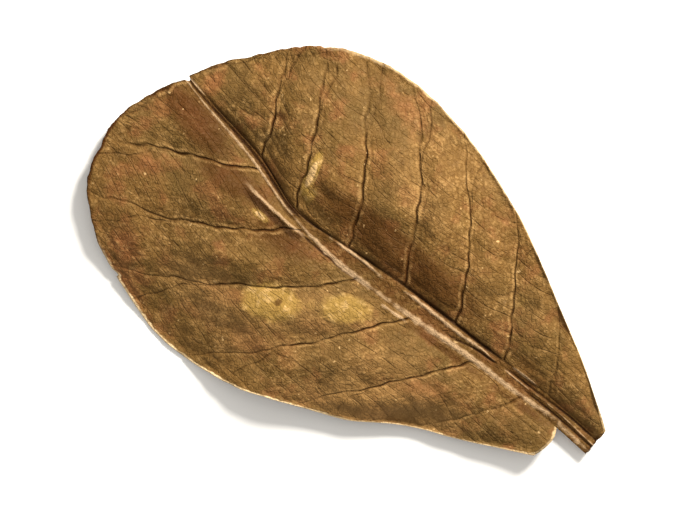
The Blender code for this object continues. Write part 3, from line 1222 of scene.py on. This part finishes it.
class Sheet:
    """The node sheet of one material."""

    def __init__(self, name: str) -> None:
        """Makes a material with an empty sheet.

        Args:
            name: The material's name.
        """
        self.material = bpy.data.materials.new(name)
        self.material.use_nodes = True
        self.tree = self.material.node_tree
        self.tree.nodes.clear()

    def node(self, kind: str, settings: dict | None = None, inputs: dict | None = None) -> bpy.types.Node:
        """Adds any node.

        Args:
            kind: Its type, without the word that starts all of them.
            settings: Attributes of the node, set first.
            inputs: Values or links of its sockets, by name or number.

        Returns:
            The node.
        """
        made = self.tree.nodes.new(f"ShaderNode{kind}")
        for name, value in (settings or {}).items():
            setattr(made, name, value)
        for name, value in (inputs or {}).items():
            source = value.socket if isinstance(value, Amount) else value
            if isinstance(source, Socket):
                self.tree.links.new(source, made.inputs[name])
            else:
                made.inputs[name].default_value = source
        return made

    def math(self, operation: str, *values: "Amount | float") -> Amount:
        """A Math node on up to three values."""
        made = self.node("Math", {"operation": operation}, dict(enumerate(values)))
        return Amount(self, made.outputs[0])

    def above_zero(self, value: Amount) -> Amount:
        """The value where it is above 0, and 0 elsewhere."""
        return self.math("MAXIMUM", value, 0.0)

    def whole_gap(self, value: Amount) -> Amount:
        """How far a value is from the nearest whole number."""
        return self.math("ABSOLUTE", value - self.math("ROUND", value))

    def attribute(self, name: str) -> tuple[Amount, Amount, Amount]:
        """Reads a vector attribute of the mesh.

        Args:
            name: The attribute's name.

        Returns:
            Its three numbers.
        """
        source = self.node("Attribute", {"attribute_name": name})
        parts = self.node("SeparateXYZ", inputs={0: source.outputs["Vector"]})
        return tuple(Amount(self, output) for output in parts.outputs)

    def number(self, name: str) -> Amount:
        """A number attribute of the mesh."""
        return Amount(self, self.node("Attribute", {"attribute_name": name}).outputs["Fac"])

    def step(self, value: Amount, band: Band) -> Amount:
        """Takes a value through a smooth step.

        Args:
            value: The value.
            band: The step.

        Returns:
            A value from the step's low one to its high one.
        """
        ends = {"From Min": band.first, "From Max": band.last, "To Min": band.low, "To Max": band.high}
        made = self.node("MapRange", {"interpolation_type": "SMOOTHSTEP"}, {"Value": value, **ends})
        return Amount(self, made.outputs["Result"])

    def noise(self, place: Socket, grain: Grain) -> Amount:
        """Noise of a grain, from 0 to 1."""
        inputs = {"Vector": place, "Scale": 1 / grain.size, "Detail": grain.detail, "Roughness": grain.rough}
        return Amount(self, self.node("TexNoise", inputs=inputs).outputs["Fac"])

    def mix(self, share: "Amount | float", below: "Socket | Rgba", above: "Socket | Rgba") -> Socket:
        """A colour between two others."""
        made = self.node("Mix", {"data_type": "RGBA"}, {0: share, 6: below, 7: above})
        return made.outputs[2]


def rgba(red: int, green: int, blue: int) -> Rgba:
    """A colour as a shader takes it.

    Args:
        red: Its red on a screen, from 0 to 255.
        green: Its green.
        blue: Its blue.

    Returns:
        Its linear red, green and blue, and 1 for opaque.
    """
    parts = [part / 255 for part in (red, green, blue)]
    linear = [part / 12.92 if part <= 0.04045 else ((part + 0.055) / 1.055) ** 2.4 for part in parts]
    return (*linear, 1.0)


@dataclass(frozen=True)
class VeinLines:
    """Side veins, the painted highlights on the flanks beside them and cross veins as thin lines in the
    leaf's own layout.

    Grains are in metres, and the lines' widths and raggedness in millimetres. The bands first_vein and
    faint_vein are places among the side veins, and faded, fork_from and fork_start are shares of a row.
    """

    ragged_grain: Grain = Grain(0.0016)
    broken_grain: Grain = Grain(0.006)
    broken: Band = Band(0.34, 0.56, 0.35, 1.0)
    faded: Band = Band(0.50, 1.0, 1.0, 0.20)
    first_vein: Band = Band(0.5, 0.6)
    faint_vein: Band = Band(1.3, 1.7, 0.35, 1.0)
    side: Band = Band(0.60, 0.05)
    side_ragged: float = 0.35
    # Where the painted highlights beside the side veins lie.
    flank: Band = Band(0.85, 0.1)
    flank_place: float = 1.20
    fork: Band = Band(0.60, 0.0)
    fork_ragged: float = 0.4
    fork_from: float = 0.58
    fork_reach: float = 0.40
    fork_bend: float = 1.3
    fork_start: Band = Band(0.0, 0.1)
    fork_strength: float = 0.5
    cross: Band = Band(0.30, 0.0)
    cross_pitch: float = 4.6
    cross_ragged: float = 0.6
    cross_grain: Grain = Grain(0.005, 1.0)
    cross_patches: Band = Band(0.38, 0.6)
    cross_margin: Band = Band(0.5, 3.0)

    def forks(self, sheet: Sheet, ragged: Amount) -> Amount:
        """The branches that bend from the outer part of each side vein to the next.

        Args:
            sheet: The material's sheet.
            ragged: Noise about 0 that makes lines ragged.

        Returns:
            The branches, from 0 to 1.
        """
        count, along, _ = sheet.attribute("leaf_place")
        spacing = sheet.attribute("leaf_lines")[1]
        bend = sheet.above_zero((along - self.fork_from) / (1 - self.fork_from))
        forked = count + self.fork_reach * sheet.math("POWER", bend, self.fork_bend)
        off = sheet.whole_gap(forked) * spacing + ragged * self.fork_ragged
        return sheet.step(off, self.fork) * sheet.step(bend, self.fork_start)

    def build(self, sheet: Sheet, place: Socket) -> tuple[Amount, Amount, Amount]:
        """Adds all lines.

        Args:
            sheet: The material's sheet.
            place: Object coordinates.

        Returns:
            The side veins, the painted highlights on the flanks beside them and the cross veins, from 0 to 1.
        """
        count, along, _ = sheet.attribute("leaf_place")
        phase, spacing, to_margin = sheet.attribute("leaf_lines")
        ragged = sheet.noise(place, self.ragged_grain) - 0.5
        broken = sheet.step(sheet.noise(place, self.broken_grain), self.broken)
        started = sheet.step(count, self.first_vein) * sheet.step(count, self.faint_vein)
        shown = sheet.step(along, self.faded) * broken * started
        off = sheet.whole_gap(count) * spacing + ragged * self.side_ragged
        side = sheet.step(off, self.side) * shown
        # Flanks either side of each side vein, which get a painted highlight.
        flank = sheet.step(sheet.math("ABSOLUTE", off - self.flank_place), self.flank) * shown
        fork = self.forks(sheet, ragged) * started * broken * self.fork_strength
        off = sheet.whole_gap(phase) * self.cross_pitch + ragged * self.cross_ragged
        patches = sheet.step(sheet.noise(place, self.cross_grain), self.cross_patches)
        cross = sheet.step(off, self.cross) * patches * sheet.step(to_margin, self.cross_margin)
        return sheet.math("MAXIMUM", side, fork), flank, cross


@dataclass(frozen=True)
class FaceGrain:
    """The noises of one face, each from 0 to 1.

    Attributes:
        middle: Clouds of a few millimetres.
        small: Freckles.
        cells: Lines round the smallest cells of the net.
        fine: The finest grain.
        streak: Streaks along the side veins.
        ladder: Streaks across them.
    """

    middle: Amount
    small: Amount
    cells: Amount
    fine: Amount | None = None
    streak: Amount | None = None
    ladder: Amount | None = None

    def sum(self, less: float = 0.5, **weights: float) -> Amount:
        """Adds some of the noises up.

        Args:
            less: What is taken from each first, so that it lies about 0.
            **weights: How much each noise counts, by its name.

        Returns:
            The weighted sum.
        """
        first, *others = (weight * (getattr(self, name) - less) for name, weight in weights.items())
        return sum(others, first)


@dataclass(frozen=True)
class DryLeafFinish:
    """The dry upper and under faces.

    Grains are in metres. Widths, and the bands of rim and crease, are in millimetres, as the leaf's own
    attributes are.
    """

    olive: Rgba = rgba(88, 66, 33)
    tan: Rgba = rgba(100, 73, 36)
    bright: Rgba = rgba(124, 93, 53)
    russet: Rgba = rgba(112, 71, 40)
    golden: Rgba = rgba(142, 113, 55)
    shade: Rgba = rgba(58, 31, 5)
    moss: Rgba = rgba(78, 60, 25)
    pale: Rgba = rgba(170, 134, 84)
    vein: Rgba = rgba(46, 23, 3)
    net: Rgba = rgba(62, 36, 8)
    # Painted highlight on the ridges of the midrib and the crease, and painted shade in the midrib's grooves
    # and on the crease's flank.
    ridge: Rgba = rgba(160, 133, 101)
    groove: Rgba = rgba(38, 18, 2)
    # Colour of the painted highlight along the margin.
    rim: Rgba = rgba(208, 182, 140)
    fleck: Rgba = rgba(196, 162, 112)
    under: Rgba = rgba(101, 73, 40)
    under_vein: Rgba = rgba(124, 91, 55)
    veins: VeinLines = VeinLines()
    bump_depth: float = 0.00040
    gloss: float = 0.05
    roughness: float = 0.46
    roughness_change: float = 0.30
    roughness_below: float = 0.10
    roughness_grain: Grain = Grain(0.004, 3.0)

    middle_grain: Grain = Grain(0.0065, 3.0, 0.55)
    small_grain: Grain = Grain(0.0025, 2.0, 0.55)
    fine_grain: Grain = Grain(0.0010)
    streak_grain: Grain = Grain(1.0, 1.0)
    streak_size: tuple[float, float] = (1.0, 6.0)
    ladder_size: tuple[float, float] = (5.0, 0.8)
    row_pitch: float = 14.0
    cell_size: float = 0.0016
    cell_line: Band = Band(0.14, 0.0)
    cell_dark: float = 0.08
    cell_sunk: float = 0.25
    drift_size: float = 2.2
    drift_reach: float = 0.9

    wide_grain: Grain = Grain(0.030)
    olive_to_tan: Band = Band(0.58, 0.92)
    moss_grain: Grain = Grain(0.012)
    mossy: Band = Band(0.50, 0.66, 0.0, 0.25)
    blush: Band = Band(0.20, 0.95, 0.0, 0.80)
    cloud_grain: Grain = Grain(0.009, 3.0)
    clouds: Band = Band(0.50, 0.68, 0.0, 0.55)
    light: Band = Band(0.05, 0.85, 0.0, 0.75)
    calm_grain: Grain = Grain(0.016)
    calm: Band = Band(0.40, 0.60, 0.45, 1.15)

    blotch: Band = Band(0.30, 0.62)
    blotch_strength: float = 0.70
    blotch_flecks: Band = Band(0.50, 0.70, 0.0, 0.30)
    worn: Band = Band(1.2, 1.8, 0.0, 0.85)
    dark: Band = Band(0.15, 1.05, 0.0, 0.75)
    fleck_grain: Grain = Grain(0.0020, 1.0)
    flecks: Band = Band(0.74, 0.80, 0.0, 0.5)

    # Patchiness of the painted highlight beside the side veins.
    flank_highlight: Band = Band(0.40, 0.60, 0.05, 0.32)
    net_strength: float = 0.36
    net_sunk: float = 0.5
    vein_strength: float = 0.88
    vein_sunk: float = 1.1
    # Width and patchiness of the margin's painted rim.
    rim_line: Band = Band(1.30, 0.45)
    rim_patches: Band = Band(0.30, 0.46, 0.40, 1.0)
    # The crease's painted highlight line and the painted shade on its flank.
    crease_line: Band = Band(0.80, 0.15, 0.0, 0.75)
    crease_flank: Band = Band(1.80, 0.5, 0.0, 0.8)
    crease_flank_place: float = 1.9

    rib_grain: Grain = Grain(0.0026, 1.0)
    rib_band: Band = Band(0.40, 0.62, 0.50, 0.10)
    # Painted shade in the midrib's grooves and painted highlight on its ridges.
    rib_groove: Band = Band(0.15, 0.85, 0.0, 0.92)
    rib_groove_uneven: float = 1.0
    rib_ridge: Band = Band(0.25, 0.95, 0.0, 0.80)
    rib_ridge_uneven: float = 1.1

    under_middle: Grain = Grain(0.008, 3.0, 0.6)
    under_small: Grain = Grain(0.0020, 3.0, 0.6)
    under_cell_size: float = 0.0015
    under_cell_dark: float = 0.06
    under_cell_sunk: float = 0.4
    under_clouds: Band = Band(0.40, 0.65, 0.0, 0.6)
    under_raised: Band = Band(0.0, 1.0, 0.0, 0.7)
    under_net: tuple[float, float] = (0.5, 1.2)
    under_side: tuple[float, float] = (1.0, 1.6)
    under_rib: float = 0.8

    def build(self) -> bpy.types.Material:
        """Makes the material, which reads the leaf's own attributes.

        Returns:
            The material.
        """
        sheet = Sheet(SLOT)
        place = sheet.node("TexCoord").outputs["Object"]
        colour, height = self.upper_face(sheet, place)
        below, below_height = self.under_face(sheet, place)
        upper = sheet.number("upper")
        colour = sheet.mix(upper, below, colour)
        height = height * upper + below_height * (1 - upper)
        bump = sheet.node("Bump", inputs={"Strength": 1.0, "Distance": self.bump_depth, "Height": height})
        rough = self.roughness + self.roughness_change * sheet.noise(place, self.roughness_grain)
        inputs = {
            "Base Color": colour,
            "Roughness": rough + self.roughness_below * (1 - upper),
            "Specular IOR Level": self.gloss,
            "Normal": bump.outputs[0],
        }
        shader = sheet.node("BsdfPrincipled", inputs=inputs)
        sheet.node("OutputMaterial", inputs={"Surface": shader.outputs[0]})
        return sheet.material

    def streaks(self, sheet: Sheet, across: float, along: float) -> Amount:
        """Faint streaks in the leaf's own layout.

        Args:
            sheet: The material's sheet.
            across: Their size in millimetres from one side vein to the next.
            along: Their size out along the side veins.

        Returns:
            The streaks, from 0 to 1.
        """
        count, _, distance = sheet.attribute("leaf_place")
        inputs = {"X": count * (self.row_pitch / across), "Y": distance / along}
        return sheet.noise(sheet.node("CombineXYZ", inputs=inputs).outputs[0], self.streak_grain)

    def drifted(self, sheet: Sheet, place: Socket, size: float) -> Socket:
        """The place moved a little to and fro, so that a pattern on it is uneven.

        Args:
            sheet: The material's sheet.
            place: Object coordinates.
            size: The pattern's size.

        Returns:
            The moved place.
        """
        inputs = {"Vector": place, "Scale": 1 / (size * self.drift_size), "Detail": 1.0}
        drift = sheet.node("TexNoise", inputs=inputs)
        inputs = {0: drift.outputs["Color"], 1: (size * self.drift_reach,) * 3, 2: place}
        return sheet.node("VectorMath", {"operation": "MULTIPLY_ADD"}, inputs).outputs[0]

    def cell_lines(self, sheet: Sheet, place: Socket, size: float) -> Amount:
        """The finest net, as thin lines round small uneven cells.

        Args:
            sheet: The material's sheet.
            place: Object coordinates.
            size: The cells' size.

        Returns:
            The lines, from 0 to 1.
        """
        inputs = {"Vector": self.drifted(sheet, place, size), "Scale": 1 / size}
        cells = sheet.node("TexVoronoi", {"feature": "DISTANCE_TO_EDGE"}, inputs)
        return sheet.step(Amount(sheet, cells.outputs["Distance"]), self.cell_line)

    def shifted(self, sheet: Sheet, colour: Socket, amount: Amount, above: Rgba, below: Rgba) -> Socket:
        """A colour that goes to another one where an amount is above 0, and to a third where it is below.

        Args:
            sheet: The material's sheet.
            colour: The colour.
            amount: How far it goes.
            above: Where it goes to above 0.
            below: Where it goes to below 0.

        Returns:
            The new colour.
        """
        colour = sheet.mix(sheet.above_zero(amount), colour, above)
        return sheet.mix(sheet.above_zero(-1.0 * amount), colour, below)

    def upper_face(self, sheet: Sheet, place: Socket) -> tuple[Socket, Amount]:
        """The upper face.

        Args:
            sheet: The material's sheet.
            place: Object coordinates.

        Returns:
            Its colour and its fine height.
        """
        side, flank, cross = self.veins.build(sheet, place)
        grain = FaceGrain(
            middle=sheet.noise(place, self.middle_grain),
            small=sheet.noise(place, self.small_grain),
            cells=self.cell_lines(sheet, place, self.cell_size),
            fine=sheet.noise(place, self.fine_grain),
            streak=self.streaks(sheet, *self.streak_size),
            ladder=self.streaks(sheet, *self.ladder_size),
        )
        colour = self.ground(sheet, place, grain)
        mottle = grain.sum(middle=0.35, small=0.75, fine=0.9, streak=0.5, ladder=0.2)
        calmed = mottle * sheet.step(sheet.noise(place, self.calm_grain), self.calm)
        colour = self.shifted(sheet, colour, calmed - self.cell_dark * grain.cells, self.pale, self.shade)
        colour = self.stained_and_shaded(sheet, colour, grain)
        # Painted highlight on the flanks beside the side veins.
        colour = sheet.mix(flank * sheet.step(grain.small, self.flank_highlight), colour, self.pale)
        colour = sheet.mix(cross * self.net_strength, colour, self.net)
        colour = sheet.mix(side * self.vein_strength, colour, self.vein)
        flecks = sheet.step(sheet.noise(place, self.fleck_grain), self.flecks)
        colour = self.rimmed(sheet, sheet.mix(flecks, colour, self.fleck), grain)
        colour = self.creased(sheet, colour, grain)
        height = grain.sum(less=0.0, small=1.0, fine=0.45, streak=0.6, ladder=0.35)
        height = height - self.cell_sunk * grain.cells - self.vein_sunk * side - self.net_sunk * cross
        return self.on_midrib(sheet, place, colour), height

    def ground(self, sheet: Sheet, place: Socket, grain: FaceGrain) -> Socket:
        """The ground colour: olive and tan clouds, with reddish and light patches.

        Args:
            sheet: The material's sheet.
            place: Object coordinates.
            grain: The face's noises.

        Returns:
            The colour.
        """
        _, red, dark = sheet.attribute("leaf_tone")
        wide = sheet.noise(place, self.wide_grain) + grain.sum(less=0.0, middle=0.5)
        colour = sheet.mix(sheet.step(wide, self.olive_to_tan), self.olive, self.tan)
        mossy = sheet.step(sheet.noise(place, self.moss_grain), self.mossy)
        colour = sheet.mix(mossy, colour, self.moss)
        blush = sheet.step(red + grain.sum(middle=0.9, small=0.5), self.blush)
        clouds = sheet.step(sheet.noise(place, self.cloud_grain), self.clouds)
        colour = sheet.mix(sheet.math("MAXIMUM", blush, clouds), colour, self.russet)
        light = sheet.step(grain.sum(middle=0.8) - dark, self.light)
        return sheet.mix(light, colour, self.bright)

    def stained_and_shaded(self, sheet: Sheet, colour: Socket, grain: FaceGrain) -> Socket:
        """Adds the golden blotches and the dark patches. Some dark patches are painted shade beside the
        midrib and the crease, and the band right of the midrib is partly painted shadow of a neighbouring
        leaf.

        Args:
            sheet: The material's sheet.
            colour: The colour so far.
            grain: The face's noises.

        Returns:
            The new colour.
        """
        golden, _, dark = sheet.attribute("leaf_tone")
        blotch = sheet.step(golden + grain.sum(middle=0.4, small=0.35), self.blotch)
        colour = sheet.mix(blotch * self.blotch_strength, colour, self.golden)
        colour = sheet.mix(blotch * sheet.step(grain.small, self.blotch_flecks), colour, self.fleck)
        colour = sheet.mix(sheet.step(golden, self.worn), colour, self.fleck)
        # Real dark marks and painted shade patches alike go to the dark brown colour here.
        shade = sheet.step(dark + grain.sum(middle=0.6, small=0.6), self.dark)
        return sheet.mix(shade, colour, self.shade)

    def rimmed(self, sheet: Sheet, colour: Socket, grain: FaceGrain) -> Socket:
        """Adds the margin's painted rim: a painted highlight along the edge in some places, and painted shade
        along it in others.

        Args:
            sheet: The material's sheet.
            colour: The colour so far.
            grain: The face's noises.

        Returns:
            The new colour.
        """
        to_margin = sheet.attribute("leaf_lines")[2]
        pale = sheet.attribute("leaf_marks")[2]
        rim = sheet.step(to_margin + grain.sum(small=1.6), self.rim_line)
        # Painted highlight where the rim is above 0, painted shade where it is below.
        marked = rim * pale * sheet.step(grain.middle, self.rim_patches)
        return self.shifted(sheet, colour, marked, self.rim, self.shade)

    def creased(self, sheet: Sheet, colour: Socket, grain: FaceGrain) -> Socket:
        """Adds the crease beside the midrib: a painted highlight along its top and painted shade on its left
        flank.

        Args:
            sheet: The material's sheet.
            colour: The colour so far.
            grain: The face's noises.

        Returns:
            The new colour.
        """
        off, marked, _ = sheet.attribute("leaf_marks")
        off = off + grain.sum(small=1.0)
        flank = sheet.step(sheet.math("ABSOLUTE", off + self.crease_flank_place), self.crease_flank)
        line = sheet.step(sheet.math("ABSOLUTE", off), self.crease_line)
        # Painted shade on the crease's flank, then a painted highlight along its top.
        colour = sheet.mix(flank * marked, colour, self.groove)
        return sheet.mix(line * marked, colour, self.ridge)

    def on_midrib(self, sheet: Sheet, place: Socket, colour: Socket) -> Socket:
        """Adds the midrib's mottled band, painted shade in its grooves and painted highlights on its raised
        strands.

        Args:
            sheet: The material's sheet.
            place: Object coordinates.
            colour: The colour so far.

        Returns:
            The new colour.
        """
        pale, dark, on_rib = sheet.attribute("leaf_rib")
        mottle = sheet.noise(place, self.rib_grain)
        uneven = mottle - 0.5
        # Painted shade in the grooves, painted highlight on the raised strands.
        groove = sheet.step(dark + self.rib_groove_uneven * uneven, self.rib_groove)
        ridge = sheet.step(pale + self.rib_ridge_uneven * uneven, self.rib_ridge)
        colour = sheet.mix(on_rib * sheet.step(mottle, self.rib_band), colour, self.net)
        return sheet.mix(ridge, sheet.mix(groove, colour, self.groove), self.ridge)

    def under_face(self, sheet: Sheet, place: Socket) -> tuple[Socket, Amount]:
        """The duller under face, with paler raised veins.

        Args:
            sheet: The material's sheet.
            place: Object coordinates.

        Returns:
            Its colour and its fine height.
        """
        on_rib = sheet.attribute("leaf_rib")[2]
        side, _, cross = self.veins.build(sheet, place)
        grain = FaceGrain(
            middle=sheet.noise(place, self.under_middle),
            small=sheet.noise(place, self.under_small),
            cells=self.cell_lines(sheet, place, self.under_cell_size),
        )
        colour = sheet.mix(sheet.step(grain.middle, self.under_clouds), self.under, self.russet)
        mottle = grain.sum(middle=0.6, small=0.8) - self.under_cell_dark * grain.cells
        colour = self.shifted(sheet, colour, mottle, self.pale, self.shade)
        (net_pale, net_raised), (side_pale, side_raised) = self.under_net, self.under_side
        raised = sheet.step(side_pale * side + net_pale * cross + self.under_rib * on_rib, self.under_raised)
        height = grain.sum(less=0.0, small=0.9) + net_raised * cross + side_raised * side
        return sheet.mix(raised, colour, self.under_vein), height - self.under_cell_sunk * grain.cells


@dataclass(frozen=True)
class Studio:
    """Pale floor, soft lights and the camera that looks straight down."""

    floor_size: float = 6.0
    floor_gap: float = 0.0002
    floor_colour: Rgba = (0.88, 0.88, 0.875, 1.0)
    floor_roughness: float = 0.9
    turn: float = -48.24
    sensor_width: float = 36.0
    camera_height: float = 0.72
    view_height: float = 0.176
    view_forward: float = 0.0100
    key_size: float = 0.30
    key_place: tuple[float, float, float] = (0.76, 0.06, 0.46)
    key_power: float = 25.0
    key_colour: tuple[float, float, float] = (1.0, 0.95, 0.87)
    fill_strength: float = 0.72
    fill_colour: Rgba = (1.0, 0.96, 0.90, 1.0)

    def floor(self) -> None:
        """Adds a plain floor just under the leaf."""
        bm = bmesh.new()
        bmesh.ops.create_grid(bm, x_segments=1, y_segments=1, size=self.floor_size / 2)
        bmesh.ops.translate(bm, vec=(0, 0, -self.floor_gap), verts=bm.verts)
        mesh = bpy.data.meshes.new("floor")
        bm.to_mesh(mesh)
        bm.free()
        floor = bpy.data.objects.new("floor", mesh)
        bpy.context.scene.collection.objects.link(floor)
        sheet = Sheet("pale_floor")
        inputs = {"Base Color": self.floor_colour, "Roughness": self.floor_roughness}
        shader = sheet.node("BsdfPrincipled", inputs=inputs)
        sheet.node("OutputMaterial", inputs={"Surface": shader.outputs[0]})
        mesh.materials.append(sheet.material)

    def lights(self) -> None:
        """Adds a soft key from the upper right of the picture, and an even fill from all round."""
        key = bpy.data.lights.new("key", "AREA")
        key.shape = "DISK"
        key.size = self.key_size
        key.energy = self.key_power
        key.color = self.key_colour
        lamp = bpy.data.objects.new("key", key)
        lamp.location = self.key_place
        lamp.rotation_euler = (-Vector(self.key_place)).to_track_quat("-Z", "Y").to_euler()
        bpy.context.scene.collection.objects.link(lamp)
        world = bpy.data.worlds.new("studio")
        world.use_nodes = True
        back = world.node_tree.nodes["Background"]
        back.inputs["Color"].default_value = self.fill_colour
        back.inputs["Strength"].default_value = self.fill_strength
        bpy.context.scene.world = world

    def camera(self, centre: Vector) -> None:
        """Adds a camera over the leaf, turned so that the tip points to the upper left.

        Args:
            centre: Middle of the leaf.
        """
        data = bpy.data.cameras.new("camera")
        data.sensor_width = self.sensor_width
        width = self.view_height * IMAGE_SIZE[0] / IMAGE_SIZE[1]
        data.lens = self.sensor_width * self.camera_height / width
        camera = bpy.data.objects.new("camera", data)
        camera.location = (centre.x, centre.y + self.view_forward, self.camera_height)
        camera.rotation_euler = (0.0, 0.0, math.radians(self.turn))
        bpy.context.scene.collection.objects.link(camera)
        bpy.context.scene.camera = camera

    def build(self) -> None:
        """Makes the stage."""
        low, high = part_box(NODE)
        self.floor()
        self.lights()
        self.camera((low + high) / 2)
        bpy.context.scene.view_settings.view_transform = "Standard"


def main() -> None:
    """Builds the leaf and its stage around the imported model."""
    logging.basicConfig(level=logging.INFO, format="%(message)s")
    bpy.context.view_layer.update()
    leaf = Leaf().build()
    leaf.data.materials.append(DryLeafFinish().build())
    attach(leaf, BODY)
    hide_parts(NODE)
    LOG.info("%s: %d vertices, %d faces", leaf.name, len(leaf.data.vertices), len(leaf.data.polygons))
    Studio().build()


if __name__ == "__main__":
    main()
